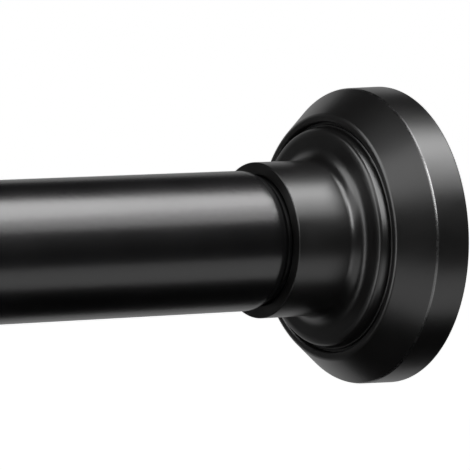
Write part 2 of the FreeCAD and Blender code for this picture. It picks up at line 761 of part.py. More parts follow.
def spring_seat(label):
    """Cupped washer on the stud's collar: a spigot and a raised rim hold the spring's end."""
    body = new_body(label, SEAT_START)
    bore = total(SHANK_CORNER, "head_gap")
    face = size("seat_thickness")
    rim_bore = total("coil_radius", "wire_radius", "head_gap")
    rim_end = total("seat_thickness", "wire_radius")
    spigot_end = total("seat_thickness", "seat_spigot")
    rim = total(rim_bore, "seat_rim")
    corners = [("0", bore), (spigot_end, bore), (spigot_end, size("spigot_radius"))]
    corners += [(face, size("spigot_radius")), (face, rim_bore), (rim_end, rim_bore)]
    corners += [(rim_end, rim), ("0", rim)]
    revolve(body, "cup", corners)
    return body


def compression_spring(label):
    """Steel spring with a closed coil at each end, both ends ground flat."""
    first_face = size("spring_margin")
    last_face = total(first_face, "spring_length")
    body = new_body(label, less(SPRING_START, first_face))
    closed = size("closed_pitch")
    first_centre = less(total(first_face, "wire_radius"), "ground_depth")
    last_centre = total(less(last_face, "wire_radius"), "ground_depth")
    active_start = total(first_centre, closed)
    active_end = less(last_centre, closed)
    coil(body, "first_closed", first_centre, closed, "1")
    coil(body, "active", active_start, less(active_end, active_start), size("active_turns"))
    coil(body, "last_closed", active_end, closed, "1")
    inner = less("coil_radius", "wire_radius", "spring_margin")
    outer = total("coil_radius", "wire_radius", "spring_margin")
    for name, start, end in (("first", "0", first_face), ("last", last_face, total(last_face, first_face))):
        corners = [(start, inner), (end, inner), (end, outer), (start, outer)]
        revolve(body, f"{name}_ground", corners, "PartDesign::Groove")
    return body


def coil(body, name, start, height, turns):
    """A stretch of the spring: so many turns over a height, from a station on."""
    outline = new_sketch(body, f"{name}_wire", "XZ_Plane")
    draw_polygon(outline, WIRE_SIDES, WIRE_CORNER, start, size("coil_radius"))
    feature = body.newObject("PartDesign::AdditiveHelix", f"{body.Name}_{name}")
    feature.Profile = outline
    feature.ReferenceAxis = (outline, ["H_Axis"])
    feature.Mode = "height-turns-angle"
    feature.setExpression("Height", height)
    feature.setExpression("Turns", turns)
    doc.recompute()
    return feature


def shank_guide(label):
    """Moulded plug in the inner tube's mouth: the stud's shank slides and cannot turn in it."""
    body = new_body(label, less(GUIDE_START, "guide_spigot"))
    flange = size("guide_spigot")
    tube_mouth = total("guide_spigot", "guide_flange")
    end = total(tube_mouth, "guide_depth")
    spigot = size("spigot_radius")
    corners = [("0", "0"), ("0", spigot), (flange, spigot), (flange, SLIDE_RADIUS)]
    corners += [(tube_mouth, SLIDE_RADIUS), (tube_mouth, INNER_PLUG_FIT), (end, INNER_PLUG_FIT), (end, "0")]
    revolve(body, "blank", corners)
    dress_edges(body, "Fillet", "flange", [(flange, SLIDE_RADIUS)], size("edge_break"))
    bore = new_sketch(body, "bore_outline", "YZ_Plane")
    draw_polygon(bore, 6, f"({SHANK_CORNER} + {size('running_gap')} / cos(30))")
    pocket_along(body, "bore", bore)
    pin_holes(body, total(tube_mouth, "guide_pin_station"), less(INNER_PLUG_FIT, "plug_wall"))
    return body


def stop_washer(label):
    """Washer that the shank guide pulls against at the spring's full length."""
    body = new_body(label, STOP_START)
    bore = total("stop_thread_radius", "seat_gap")
    ring(body, "ring", "0", size("stop_thickness"), bore, size("stop_radius"))
    return body


def stop_nut(label):
    """Hexagonal nut on the stud's end."""
    body = new_body(label, STOP_NUT_START)
    outline = new_sketch(body, "outline", "YZ_Plane")
    draw_polygon(outline, 6, f"({size('stop_nut_flats')} / (2 * cos(30)))")
    draw_circle(outline, total("stop_thread_radius", "pivot_gap"))
    pad_along(body, "blank", outline, size("stop_nut_height"))
    return body


def end_cap(prefix, station=None, faces_back=False):
    """The pieces of one end cap, which stay still against their wall."""
    return [
        wall_pad(f"{prefix}wall_pad", station, faces_back),
        cover_ring(f"{prefix}cover_ring", station, faces_back),
        end_bell(f"{prefix}end_bell", station, faces_back),
    ]


def tube_end(prefix, fit, radius, station=None, faces_back=False):
    """The pieces in and on one tube's end, which turn with the tube."""
    pin_station = total(TUBE_START, "pin_station")
    return [
        cap_screw(f"{prefix}cap_screw", station, faces_back),
        cap_washer(f"{prefix}cap_washer", station, faces_back),
        tube_plug(f"{prefix}tube_plug", fit, station, faces_back),
        pin_pair(f"{prefix}plug_pins", fit, size(radius), station, pin_station, faces_back),
    ]


def tubes():
    """The two telescoping tubes, with the bush and the sleeve at the joint and the far end."""
    return [
        outer_tube("outer_tube"),
        inner_tube("inner_tube"),
        mouth_bush("mouth_bush"),
        reducer_sleeve("far_reducer"),
    ]


def twist_lock():
    """The lock and spring inside the tubes, in order from the first end."""
    guide_pins = size("guide_pin_station")
    return [
        stud_clip("stud_clip"),
        cone_nut("cone_nut"),
        expander_sleeve("expander_sleeve"),
        thrust_washer("thrust_washer"),
        lock_stud("lock_stud"),
        spring_seat("spring_seat"),
        compression_spring("compression_spring"),
        shank_guide("shank_guide"),
        pin_pair("guide_pins", INNER_PLUG_FIT, size("inner_radius"), INNER_MOUTH, guide_pins),
        stop_washer("stop_washer"),
        stop_nut("stop_nut"),
    ]


def check_document():
    """Stops where any object failed, and names it."""
    for item in doc.Objects:
        if "Invalid" in item.State or "Error" in item.State:
            raise RuntimeError(f"{item.Label} did not build")


def check_piece(body, solids):
    """Stops where a piece is empty, not valid, or not as many solids as it should be."""
    shape = body.Shape
    if shape.isNull() or not shape.isValid():
        raise RuntimeError(f"{body.Label} has no valid shape")
    if len(shape.Solids) != solids:
        raise RuntimeError(f"{body.Label} has {len(shape.Solids)} solids")


pieces = end_cap("") + tube_end("", NECK_PLUG_FIT, "neck_radius")
pieces += tubes() + twist_lock()
pieces += tube_end("far_", INNER_PLUG_FIT, "inner_radius", FAR_WALL, True)
pieces += end_cap("far_", FAR_WALL, True)
doc.recompute()
check_document()
for piece in pieces:
    check_piece(piece, 2 if piece.Label.endswith("_pins") else 1)
os.makedirs("parts", exist_ok=True)
for piece in pieces:
    piece.Shape.exportStep(os.path.join("parts", f"{piece.Label}.step"))
print(f"{len(pieces)} nodes, {value(FAR_WALL):.1f} mm long as drawn")
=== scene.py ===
import json
import math

import bpy
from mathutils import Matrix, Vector


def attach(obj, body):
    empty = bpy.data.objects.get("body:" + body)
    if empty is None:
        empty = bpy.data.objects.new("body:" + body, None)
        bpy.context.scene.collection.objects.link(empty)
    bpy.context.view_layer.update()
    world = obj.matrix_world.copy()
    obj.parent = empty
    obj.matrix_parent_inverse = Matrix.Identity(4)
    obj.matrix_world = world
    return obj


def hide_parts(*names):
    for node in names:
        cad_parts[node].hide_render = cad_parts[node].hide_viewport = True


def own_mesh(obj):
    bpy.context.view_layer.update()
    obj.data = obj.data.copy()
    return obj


# Spring tension rod: black telescoping tubes between two flared end caps. Stations are in
# millimetres along the rod from the first end's wall, and radii are from the rod's axis.
# Lamps, camera and floor are in metres.

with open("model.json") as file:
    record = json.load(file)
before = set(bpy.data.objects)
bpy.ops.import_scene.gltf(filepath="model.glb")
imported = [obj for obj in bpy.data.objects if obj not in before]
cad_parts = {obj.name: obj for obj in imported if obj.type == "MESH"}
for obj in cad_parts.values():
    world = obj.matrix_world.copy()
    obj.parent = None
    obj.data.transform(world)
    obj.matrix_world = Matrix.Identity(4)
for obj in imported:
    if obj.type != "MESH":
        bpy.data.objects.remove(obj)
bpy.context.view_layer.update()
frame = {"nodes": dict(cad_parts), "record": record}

MM = 0.001
TOUCH = 1e-6
RING_TOLERANCE = 2e-6
AXIS_TURN = (0.0, math.pi / 2, 0.0)

# How many sides a turned piece has, and how many steps one turn of a thread or coil has
ROUND = 192
SMALL_ROUND = 64
BARREL_ROUND = 96
WIRE_ROUND = 16
THREAD_STEPS = 28
COIL_STEPS = 44

# The two tubes. The outer one is drawn in to a neck over an eased shoulder.
FAR_WALL = 771.1
TUBE_START = 10.5
TUBE_END = 656.5
TUBE_RADIUS = 12.7
TUBE_WALL = 0.7
NECK_RADIUS = 11.7
NECK_END = 29.7
SHOULDER_BEND = 31.1
SHOULDER_RADIUS = 12.55
SHOULDER_END = 32.6
SHOULDER_ROUND = 3.6
EASE_ROUND = 12.0
TUBE_END_ROUND = 0.08
INNER_START = 210.6
INNER_END = 760.6
INNER_RADIUS = 11.1

# Cover ring: bead, rim, cone and lip, and the strip on its rim's edge that carries a painted
# highlight
RIM_BACK = 1.0
RIM_FRONT = 7.9
FLANGE_RADIUS = 27.18
RIM_EDGE = 27.06
RIM_ROUND = 0.9
RIM_PROFILE = 0.4
RIM_BACK_ROUND = 0.35
HIGHLIGHT_STATION = 7.98
HIGHLIGHT_RADIUS = 27.0
HIGHLIGHT_REACH = 0.22
LIP_FRONT = 13.8
LIP_BACK = 12.6
LIP_CORNER = 22.4
LIP_RADIUS = 21.05
LIP_ROUND = 0.9
LIP_INNER_ROUND = 0.4
COVER_WALL = 1.1
COVER_BORE = 25.96
BEAD_RADIUS = 25.46
BEAD_FRONT = 2.2

# End bell: collar, crowned disc, ledge, channel, skirt, socket and webs
COLLAR_RADIUS = 14.15
COLLAR_FRONT = 29.0
COLLAR_ROUND = 0.2
MOUTH_ROUND = 0.4
THROAT_ROUND = 2.6
DISC_FRONT = 15.5
DISC_BACK = 13.7
DISC_RADIUS = 20.2
DISC_CROWN = 18.9
DISC_BEND = 15.15
DISC_EDGE = 19.8
CROWN_ROUND = 3.0
CROWN_TURN = 21.2
DISC_ROUND = 0.75
DISC_SIDE_TURN = 56.3
LEDGE = 13.35
LEDGE_EDGE = 20.55
LEDGE_ROUND = 0.2
CHANNEL_FLOOR = 12.9
CHANNEL_EDGE = 20.95
SHOULDER = 12.5
COVER_GAP = 1.2
BELL_DEPTH = 2.7
SKIRT_BORE = 24.1
SKIRT_RADIUS = 25.86
SKIRT_BACK = 2.3
SOCKET_BORE = 11.8
SOCKET_RADIUS = 13.4
PAD_BACK = 3.4
PAD_SOCKET = 11.7
FLOOR_BACK = 6.8
FLOOR_FRONT = 9.3
PIVOT_BORE = 3.05
WEB_THICKNESS = 1.6
WEB_COUNT = 8

# Grip pad: treads and spigot
PAD_RADIUS = 24.0
PAD_LAND = 5.0
PAD_ROUND = 0.4
TREAD_PITCH = 3.8
TREAD_GROOVE = 2.1
TREAD_DEPTH = 0.8
TREAD_COUNT = 5
TREAD_ROUND = 0.15
SPIGOT_OUTER = 11.6
SPIGOT_INNER = 8.0
SPIGOT_END = 5.2

# Bush in the outer tube's mouth, and the far bell's sleeve
BUSH_START = 642.5
BUSH_FIT = 11.9
BUSH_LIP = 13.1
BUSH_FRONT = 658.5
BUSH_BORE = 11.2
BUSH_ROUND = 0.5
SLEEVE_EDGE_ROUND = 0.2
REDUCER_FRONT = 28.5

# Cap screw
HEAD_BACK = 3.7
HEAD_FRONT = 6.0
HEAD_RADIUS = 5.0
HEAD_ROUND = 0.8
STEEL_EDGE_ROUND = 0.15
DRIVE_FLATS = 3.0
DRIVE_DEPTH = 1.5
SCREW_SHOULDER = 3.0
SCREW_RADIUS = 2.2
SCREW_CORE = 1.65
SCREW_PITCH = 1.6
SCREW_RUN_IN = 0.3
SCREW_END = 24.3
SCREW_TIP = 1.2
SCREW_POINT = 0.4

# Thread ridges: how deep they root, and their width and their crest's as shares
THREAD_ROOT = 0.1
RIDGE_WIDTH = 0.8
CREST_WIDTH = 0.2

# Lock stud
STUD_START = 103.6
GROOVE_START = 105.6
GROOVE_END = 106.4
GROOVE_RADIUS = 3.1
THREAD_RADIUS = 3.95
THREAD_CORE = 3.3
THREAD_PITCH = 1.25
JOURNAL_START = 143.6
JOURNAL_RADIUS = 4.0
STUD_COLLAR = 153.6
STUD_COLLAR_RADIUS = 8.0
SHANK_START = 156.1
SHANK_END = 230.6
SHANK_FLATS = 7.0
STUD_END = 241.1
STUD_CHAMFER = 0.5
STOP_RADIUS = 3.3
STOP_CORE = 2.75
STOP_PITCH = 1.0
STOP_RUN_OUT = 0.4
JOIN_DEPTH = 0.1

# Stop nut
STOP_NUT_START = 232.1
STOP_NUT_END = 238.6
STOP_NUT_FLATS = 13.0
NUT_FACE_INSET = 0.1
NUT_PLAY = 0.05
HEX_HALF_ANGLE = math.radians(30)
CUT_PAST = 1.0

# Compression spring
SPRING_START = 157.6
SPRING_END = 207.6
COIL_RADIUS = 8.0
WIRE_RADIUS = 1.0
CLOSED_PITCH = 2.15
ACTIVE_TURNS = 6
GROUND_DEPTH = 0.6

# The cover ring's cone: its fall of radius along the rod, and its slant
CONE_DROP = (RIM_EDGE - LIP_CORNER) / (LIP_FRONT - RIM_FRONT)
CONE_DEPTH = math.sqrt(1 + CONE_DROP ** 2)


def cone_radius(station, depth):
    """The radius at a station, at a depth square under the cover ring's cone."""
    return LIP_CORNER + (LIP_FRONT - station) * CONE_DROP - depth * CONE_DEPTH


def cone_station(radius, depth):
    """The station where the same line reaches a radius."""
    return LIP_FRONT - (radius - LIP_CORNER + depth * CONE_DEPTH) / CONE_DROP


def slope_between(first, second):
    """How many degrees a line between two pairs of station and radius rises from the axis."""
    return math.degrees(math.atan2(second[1] - first[1], second[0] - first[0]))


def deselect():
    """Leaves object mode with nothing selected."""
    if bpy.context.object and bpy.context.object.mode != "OBJECT":
        bpy.ops.object.mode_set(mode="OBJECT")
    bpy.ops.object.select_all(action="DESELECT")


def make_active(piece):
    """Selects one piece alone."""
    deselect()
    piece.select_set(True)
    bpy.context.view_layer.objects.active = piece


def edit(piece, mode="EDGE"):
    """Opens a piece in edit mode with nothing in it selected."""
    make_active(piece)
    bpy.ops.object.mode_set(mode="EDIT")
    bpy.ops.mesh.select_mode(type=mode)
    bpy.ops.mesh.select_all(action="DESELECT")


def at_ring(point, station, radius):
    """Whether a point of a mesh lies on the ring at a station and radius."""
    along = abs(point.x - station * MM)
    outward = abs(math.hypot(point.y, point.z) - radius * MM)
    return along < RING_TOLERANCE and outward < RING_TOLERANCE


def pick_rings(piece, places):
    """Selects the edge rings of a piece at pairs of station and radius, and opens it in edit mode."""
    edit(piece)
    bpy.ops.object.mode_set(mode="OBJECT")
    points = [vertex.co for vertex in piece.data.vertices]
    for edge in piece.data.edges:
        first, second = (points[index] for index in edge.vertices)
        edge.select = any(at_ring(first, *place) and at_ring(second, *place) for place in places)
    bpy.ops.object.mode_set(mode="EDIT")


def round_rings(piece, places, radius, turn=90.0, steps=5, profile=0.5):
    """Rounds edge rings to a radius. The surface turns through so many degrees there. A profile of
    0.5 is an arc, and a lower one is flatter."""
    pick_rings(piece, places)
    width = radius * MM * math.tan(math.radians(turn) / 2)
    bpy.ops.mesh.bevel(offset=width, segments=steps, profile=profile, affect="EDGES")
    bpy.ops.object.mode_set(mode="OBJECT")


def turned(name, outline, closed=True, sides=ROUND):
    """A piece turned on the rod's axis: a circle drawn out ring by ring through an outline."""
    deselect()
    station, radius = outline[0]
    bpy.ops.mesh.primitive_circle_add(
        vertices=sides, radius=radius * MM, location=(station * MM, 0, 0), rotation=AXIS_TURN
    )
    piece = bpy.context.object
    piece.name = name
    bpy.ops.object.transform_apply(location=True, rotation=True, scale=True)
    bpy.ops.object.mode_set(mode="EDIT")
    bpy.ops.mesh.select_mode(type="EDGE")
    bpy.ops.mesh.select_all(action="SELECT")
    for next_station, next_radius in outline[1:]:
        bpy.ops.mesh.extrude_region_move()
        bpy.ops.transform.translate(value=((next_station - station) * MM, 0, 0))
        scale = next_radius / radius
        bpy.ops.transform.resize(value=(1, scale, scale), center_override=(next_station * MM, 0, 0))
        station, radius = next_station, next_radius
    bpy.ops.mesh.select_all(action="DESELECT")
    bpy.ops.mesh.select_non_manifold()
    if closed:
        bpy.ops.mesh.bridge_edge_loops()
    else:
        bpy.ops.mesh.fill_holes(sides=0)
    bpy.ops.mesh.select_all(action="SELECT")
    bpy.ops.mesh.normals_make_consistent(inside=False)
    bpy.ops.object.mode_set(mode="OBJECT")
    return piece


def finish_mesh(piece, angle=30.0):
    """Smooths a piece up to an angle and evens its shading over the large faces."""
    make_active(piece)
    bpy.ops.object.shade_smooth_by_angle(angle=math.radians(angle))
    even = piece.modifiers.new("even_shading", "WEIGHTED_NORMAL")
    even.keep_sharp = True
    bpy.ops.object.modifier_apply(modifier=even.name)


def copy_of(piece, name):
    """A copy of a piece with its own mesh."""
    make_active(piece)
    bpy.ops.object.duplicate(linked=False)
    copy = bpy.context.object
    copy.name = name
    return copy


def join_to(piece, parts):
    """Joins parts into a piece."""
    make_active(piece)
    for part in parts:
        part.select_set(True)
    bpy.ops.object.join()


def cut_with(piece, tool, how):
    """Cuts a tool body out of a piece, or keeps what the two share, and drops the tool."""
    make_active(piece)
    cut = piece.modifiers.new("cut", "BOOLEAN")
    cut.operation = how
    cut.solver = "EXACT"
    cut.object = tool
    bpy.ops.object.modifier_apply(modifier=cut.name)
    make_active(tool)
    bpy.ops.object.delete()


def hexagonal_bar(name, start, end, flats):
    """A six-sided bar on the rod's axis, with a corner level on each side."""
    deselect()
    bpy.ops.mesh.primitive_cylinder_add(
        vertices=6,
        radius=flats / (2 * math.cos(HEX_HALF_ANGLE)) * MM,
        depth=(end - start) * MM,
        location=((start + end) / 2 * MM, 0, 0),
        rotation=AXIS_TURN,
    )
    bar = bpy.context.object
    bar.name = name
    bpy.ops.object.transform_apply(location=True, rotation=True, scale=True)
    return bar


def wind(piece, pitch, turns, steps):
    """Sweeps a section round the rod's axis on a right-hand helix."""
    make_active(piece)
    screw = piece.modifiers.new("winding", "SCREW")
    screw.axis = "X"
    screw.angle = 2 * math.pi
    screw.screw_offset = pitch * MM
    screw.iterations = turns
    screw.steps = steps
    screw.render_steps = steps
    bpy.ops.object.modifier_apply(modifier=screw.name)


def close_ends(piece):
    """Fills the open ends of a wound piece and turns its faces outwards."""
    edit(piece)
    bpy.ops.mesh.select_non_manifold()
    bpy.ops.mesh.fill_holes(sides=0)
    bpy.ops.mesh.select_all(action="SELECT")
    bpy.ops.mesh.normals_make_consistent(inside=False)
    bpy.ops.object.mode_set(mode="OBJECT")


def thread_ridge(name, start, end, crest, core, pitch):
    """The ridge of a screw thread, rooted a little inside the core it is joined to."""
    deselect()
    root = core - THREAD_ROOT
    width = RIDGE_WIDTH * pitch
    height = crest - root
    bpy.ops.mesh.primitive_plane_add(
        size=1,
        location=((start + width / 2) * MM, 0, (root + height / 2) * MM),
        rotation=(math.pi / 2, 0, 0),
    )
    ridge = bpy.context.object
    ridge.name = name
    ridge.scale = (width * MM, height * MM, 1)
    bpy.ops.object.transform_apply(location=True, rotation=True, scale=True)
    edit(ridge, "VERT")
    bpy.ops.object.mode_set(mode="OBJECT")
    for vertex in ridge.data.vertices:
        vertex.select = vertex.co.z > (root + height / 2) * MM
    bpy.ops.object.mode_set(mode="EDIT")
    bpy.ops.transform.resize(value=(CREST_WIDTH, 1, 1))
    bpy.ops.mesh.select_mode(type="FACE")
    bpy.ops.mesh.select_all(action="SELECT")
    bpy.ops.mesh.delete(type="ONLY_FACE")
    bpy.ops.object.mode_set(mode="OBJECT")
    wind(ridge, pitch, int((end - start - width) / pitch), THREAD_STEPS)
    close_ends(ridge)
    return ridge


def turn_to_far_end(piece):
    """Turns a first-end piece round to stand at the far wall."""
    make_active(piece)
    middle = (FAR_WALL * MM / 2, 0, 0)
    bpy.ops.transform.rotate(value=math.pi, orient_axis="Z", center_override=middle)
    bpy.ops.object.transform_apply(location=True, rotation=True, scale=True)


def place(piece, body, slot, material, *nodes):
    """Hangs a finished piece on its body in the place of its CAD nodes, with its finish."""
    if not piece.data.materials:
        piece.data.materials.append(material)
    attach(piece, body)
    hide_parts(*nodes)


# Materials

# Most of a noise pattern lies between these two values
NOISE_LOW = 0.3
NOISE_HIGH = 0.7


def new_material(name, color, roughness, metallic=0.0):
    """A material with one surface shader, and its nodes, links and shader."""
    material = bpy.data.materials.new(name)
    material.use_nodes = True
    nodes = material.node_tree.nodes
    shader = nodes["Principled BSDF"]
    shader.inputs["Base Color"].default_value = (*color, 1)
    shader.inputs["Roughness"].default_value = roughness
    shader.inputs["Metallic"].default_value = metallic
    return material, nodes, material.node_tree.links, shader


def noise(nodes, links, scale, detail=3.0, stretch=(1, 1, 1)):
    """Noise on the object's own coordinates, so many features to the metre."""
    coordinates = nodes.new("ShaderNodeTexCoord")
    mapping = nodes.new("ShaderNodeMapping")
    mapping.inputs["Scale"].default_value = stretch
    pattern = nodes.new("ShaderNodeTexNoise")
    pattern.inputs["Scale"].default_value = scale
    pattern.inputs["Detail"].default_value = detail
    links.new(coordinates.outputs["Object"], mapping.inputs["Vector"])
    links.new(mapping.outputs["Vector"], pattern.inputs["Vector"])
    return pattern


def vary(nodes, links, pattern, low, high, socket):
    """Feeds a pattern into a socket, spread between two numbers."""
    spread = nodes.new("ShaderNodeMapRange")
    spread.inputs["From Min"].default_value = NOISE_LOW
    spread.inputs["From Max"].default_value = NOISE_HIGH
    spread.inputs["To Min"].default_value = low
    spread.inputs["To Max"].default_value = high
    links.new(pattern.outputs["Fac"], spread.inputs["Value"])
    links.new(spread.outputs["Result"], socket)


def tint(nodes, links, pattern, low, high, socket):
    """Feeds a pattern into a colour socket, between two colours."""
    ramp = nodes.new("ShaderNodeValToRGB")
    ramp.color_ramp.elements[0].position = NOISE_LOW
    ramp.color_ramp.elements[0].color = (*low, 1)
    ramp.color_ramp.elements[1].position = NOISE_HIGH
    ramp.color_ramp.elements[1].color = (*high, 1)
    links.new(pattern.outputs["Fac"], ramp.inputs["Fac"])
    links.new(ramp.outputs["Color"], socket)


def dent(nodes, links, pattern, strength, distance, shader):
    """Raises a fine surface from a pattern."""
    bump = nodes.new("ShaderNodeBump")
    bump.inputs["Strength"].default_value = strength
    bump.inputs["Distance"].default_value = distance
    links.new(pattern.outputs["Fac"], bump.inputs["Height"])
    links.new(bump.outputs["Normal"], shader.inputs["Normal"])


def black_coating():
    """Satin black coating on the steel tubes, with a faint peel."""
    color = (0.0018, 0.0018, 0.0019)
    material, nodes, links, shader = new_material("satin_black_coating", color, 0.25)
    clouds = noise(nodes, links, scale=60, detail=2)
    vary(nodes, links, clouds, 0.24, 0.27, shader.inputs["Roughness"])
    low, high = (0.0014, 0.0014, 0.0015), (0.0022, 0.0022, 0.0023)
    tint(nodes, links, clouds, low, high, shader.inputs["Base Color"])
    peel = noise(nodes, links, scale=900, detail=2)
    dent(nodes, links, peel, strength=0.06, distance=0.0002, shader=shader)
    return material


def black_moulding():
    """Semi-gloss black moulded plastic with a very fine grain."""
    color = (0.0028, 0.0027, 0.0027)
    material, nodes, links, shader = new_material("black_moulded_plastic", color, 0.3)
    clouds = noise(nodes, links, scale=90, detail=2)
    vary(nodes, links, clouds, 0.28, 0.33, shader.inputs["Roughness"])
    low, high = (0.0023, 0.0022, 0.0022), (0.0034, 0.0033, 0.0033)
    tint(nodes, links, clouds, low, high, shader.inputs["Base Color"])
    grain = noise(nodes, links, scale=2600, detail=2)
    dent(nodes, links, grain, strength=0.05, distance=0.0001, shader=shader)
    return material


def painted_highlight_edge():
    """A painted highlight: black plastic on a rounded outer edge, a little lighter and twice as
    reflective, so that a bright line shows there.
    """
    color = (0.004, 0.004, 0.004)
    material, nodes, links, shader = new_material("painted_highlight_black_edge", color, 0.25)
    shader.inputs["Specular IOR Level"].default_value = 1.0
    highlight_mottle = noise(nodes, links, scale=700, detail=3)
    vary(nodes, links, highlight_mottle, 0.22, 0.3, shader.inputs["Roughness"])
    low, high = (0.003, 0.003, 0.003), (0.006, 0.006, 0.006)
    tint(nodes, links, highlight_mottle, low, high, shader.inputs["Base Color"])
    return material


def black_rubber():
    """Matt black rubber, faintly dusty."""
    color = (0.022, 0.022, 0.022)
    material, nodes, links, shader = new_material("matt_black_rubber", color, 0.75)
    clouds = noise(nodes, links, scale=160, detail=4)
    vary(nodes, links, clouds, 0.68, 0.82, shader.inputs["Roughness"])
    low, high = (0.018, 0.018, 0.018), (0.03, 0.029, 0.028)
    tint(nodes, links, clouds, low, high, shader.inputs["Base Color"])
    grain = noise(nodes, links, scale=3000, detail=3)
    dent(nodes, links, grain, strength=0.25, distance=0.0001, shader=shader)
    return material


def plain_steel():
    """Zinc-coated steel with fine turning lines round the axis."""
    color = (0.5, 0.5, 0.5)
    material, nodes, links, shader = new_material("zinc_coated_steel", color, 0.3, 1.0)
    clouds = noise(nodes, links, scale=300, detail=3)
    low, high = (0.46, 0.46, 0.47), (0.56, 0.56, 0.55)
    tint(nodes, links, clouds, low, high, shader.inputs["Base Color"])
    lines = noise(nodes, links, scale=400, detail=2, stretch=(12, 1, 1))
    vary(nodes, links, lines, 0.26, 0.38, shader.inputs["Roughness"])
    dent(nodes, links, lines, strength=0.1, distance=0.0001, shader=shader)
    return material


def inner_moulding():
    """Natural matt moulded plastic."""
    color = (0.6, 0.59, 0.55)
    material, nodes, links, shader = new_material("natural_moulded_plastic", color, 0.45)
    clouds = noise(nodes, links, scale=120, detail=3)
    low, high = (0.57, 0.56, 0.52), (0.64, 0.63, 0.59)
    tint(nodes, links, clouds, low, high, shader.inputs["Base Color"])
    grain = noise(nodes, links, scale=1800, detail=2)
    vary(nodes, links, grain, 0.4, 0.5, shader.inputs["Roughness"])
    dent(nodes, links, grain, strength=0.12, distance=0.0001, shader=shader)
    return material


finishes = {
    "black_tube": black_coating(),
    "black_moulding": black_moulding(),
    "black_rubber": black_rubber(),
    "plain_steel": plain_steel(),
    "inner_moulding": inner_moulding(),
}
# The painted highlight: a lighter, more reflective finish for the rim's front edge
painted_highlight_finish = painted_highlight_edge()
slot_of = {part["node"]: part["material_slot"] for part in frame["record"]["subparts"]}
for node, thing in frame["nodes"].items():
    thing.data.materials.clear()
    thing.data.materials.append(finishes[slot_of[node]])


# Pieces


def paint_highlight_ring(piece, station, radius, reach):
    """Gives the black plastic's faces on a rounded ring edge the painted highlight finish."""
    piece.data.materials.append(finishes["black_moulding"])
    piece.data.materials.append(painted_highlight_finish)
    edit(piece, "FACE")
    bpy.ops.object.mode_set(mode="OBJECT")
    for face in piece.data.polygons:
        along = face.center.x - station * MM
        outward = math.hypot(face.center.y, face.center.z) - radius * MM
        face.select = math.hypot(along, outward) < reach * MM
    piece.active_material_index = 1
    bpy.ops.object.mode_set(mode="EDIT")
    bpy.ops.object.material_slot_assign()
    bpy.ops.object.mode_set(mode="OBJECT")


def cover_ring(name):
    """Thin shell over the bell: rim, cone and narrow lip."""
    outline = [(RIM_BACK, BEAD_RADIUS), (RIM_BACK, FLANGE_RADIUS), (RIM_FRONT, RIM_EDGE)]
    outline += [(LIP_FRONT, LIP_CORNER), (LIP_FRONT, LIP_RADIUS), (LIP_BACK, LIP_RADIUS)]
    outline += [(LIP_BACK, cone_radius(LIP_BACK, COVER_WALL))]
    outline += [(cone_station(COVER_BORE, COVER_WALL), COVER_BORE)]
    outline += [(BEAD_FRONT, COVER_BORE), (BEAD_FRONT, BEAD_RADIUS)]
    piece = turned(name, outline)
    cone_turn = math.degrees(math.atan(CONE_DROP))
    round_rings(piece, [(RIM_FRONT, RIM_EDGE)], RIM_ROUND, cone_turn, 8, RIM_PROFILE)
    round_rings(piece, [(RIM_BACK, FLANGE_RADIUS)], RIM_BACK_ROUND)
    round_rings(piece, [(LIP_FRONT, LIP_CORNER)], LIP_ROUND, 90 - cone_turn, 8)
    round_rings(piece, [(LIP_FRONT, LIP_RADIUS)], LIP_INNER_ROUND)
    finish_mesh(piece)
    # Paints a highlight along the rim's front edge as a lighter, more reflective strip
    paint_highlight_ring(piece, HIGHLIGHT_STATION, HIGHLIGHT_RADIUS, HIGHLIGHT_REACH)
    return piece


def tube(name, start, end, radius):
    """Plain round tube with its wall."""
    bore = radius - TUBE_WALL
    piece = turned(name, [(start, bore), (start, radius), (end, radius), (end, bore)])
    ends = [(start, radius), (end, radius), (start, bore), (end, bore)]
    round_rings(piece, ends, TUBE_END_ROUND, 90, 3)
    finish_mesh(piece)
    return piece


def necked_tube(name):
    """Outer tube, drawn in to a smaller neck where it enters the first cap."""
    neck_bore = NECK_RADIUS - TUBE_WALL
    bore = TUBE_RADIUS - TUBE_WALL
    outline = [(TUBE_START, neck_bore), (TUBE_START, NECK_RADIUS), (NECK_END, NECK_RADIUS)]
    outline += [(SHOULDER_BEND, SHOULDER_RADIUS), (SHOULDER_END, TUBE_RADIUS)]
    outline += [(TUBE_END, TUBE_RADIUS), (TUBE_END, bore), (SHOULDER_END, bore)]
    outline += [(NECK_END, neck_bore)]
    piece = turned(name, outline)
    ease = slope_between((SHOULDER_BEND, SHOULDER_RADIUS), (SHOULDER_END, TUBE_RADIUS))
    slope = slope_between((NECK_END, NECK_RADIUS), (SHOULDER_BEND, SHOULDER_RADIUS))
    round_rings(piece, [(SHOULDER_END, TUBE_RADIUS)], EASE_ROUND, ease, 6)
    round_rings(piece, [(SHOULDER_BEND, SHOULDER_RADIUS)], SHOULDER_ROUND, slope - ease, 10)
    round_rings(piece, [(SHOULDER_END, bore)], SHOULDER_ROUND - TUBE_WALL, slope, 6)
    ends = [(TUBE_START, NECK_RADIUS), (TUBE_END, TUBE_RADIUS)]
    ends += [(TUBE_START, neck_bore), (TUBE_END, bore)]
    round_rings(piece, ends, TUBE_END_ROUND, 90, 3)
    finish_mesh(piece)
    return piece


